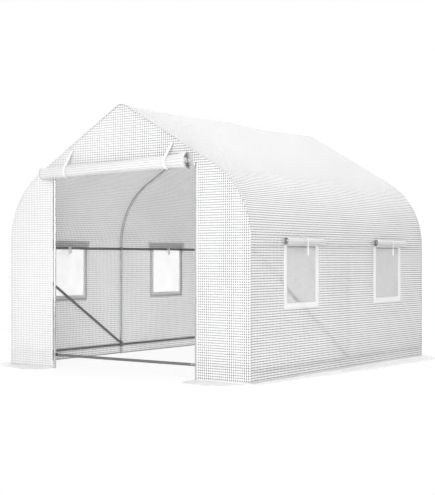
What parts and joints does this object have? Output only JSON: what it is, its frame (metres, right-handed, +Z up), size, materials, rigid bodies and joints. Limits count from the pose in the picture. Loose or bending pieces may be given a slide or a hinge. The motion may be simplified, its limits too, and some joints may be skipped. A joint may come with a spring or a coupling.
{
  "type": "plastic greenhouse",
  "caption": "Walk-in tunnel greenhouse: bent tube hoops under a reinforced film cover, with an open rolled-up door, screened side windows and ground skirts.",
  "frame": {"origin": "on the ground at the middle of the footprint, skirts included", "axes": "+Y from the doorway to the back along the ridge, +Z up, +X to the right seen from the doorway"},
  "size_m": [3.1506, 3.4506, 2.34],
  "materials": {
    "galvanized_tube": "satin",
    "reinforced_film": "satin",
    "rolled_film": "satin",
    "skirt_film": "satin",
    "window_mesh": "matte",
    "webbing": "matte",
    "tie_tape": "matte"
  },
  "bodies": {
    "root": {"door_header_bar": "galvanized_tube", "door_posts": "galvanized_tube", "door_sill_bar": "galvanized_tube", "door_ties": "tie_tape", "front_bows": "galvanized_tube", "front_crown": "galvanized_tube", "front_gable_panel": "reinforced_film", "front_left_panel": "reinforced_film", "front_left_post": "galvanized_tube", "front_right_panel": "reinforced_film", "front_right_post": "galvanized_tube", "front_skirts": "skirt_film", "left_brace": "galvanized_tube", "left_roof_cover": "reinforced_film", "left_side_rails": "galvanized_tube", "left_skirt": "skirt_film", "left_wall_cover": "reinforced_film", "left_window_borders": "webbing", "left_window_rolls": "rolled_film", "left_window_screens": "window_mesh", "middle_bows": "galvanized_tube", "middle_crown": "galvanized_tube", "middle_left_post": "galvanized_tube", "middle_right_post": "galvanized_tube", "rear_bows": "galvanized_tube", "rear_crown": "galvanized_tube", "rear_header_bar": "galvanized_tube", "rear_left_post": "galvanized_tube", "rear_panel": "reinforced_film", "rear_posts": "galvanized_tube", "rear_right_post": "galvanized_tube", "rear_sill_bar": "galvanized_tube", "rear_skirt": "skirt_film", "ridge_beam": "galvanized_tube", "right_brace": "galvanized_tube", "right_roof_cover": "reinforced_film", "right_side_rails": "galvanized_tube", "right_skirt": "skirt_film", "right_wall_cover": "reinforced_film", "right_window_borders": "webbing", "right_window_rolls": "rolled_film", "right_window_screens": "window_mesh", "rolled_door": "rolled_film", "window_ties": "tie_tape"}
  },
  "joints": []
}
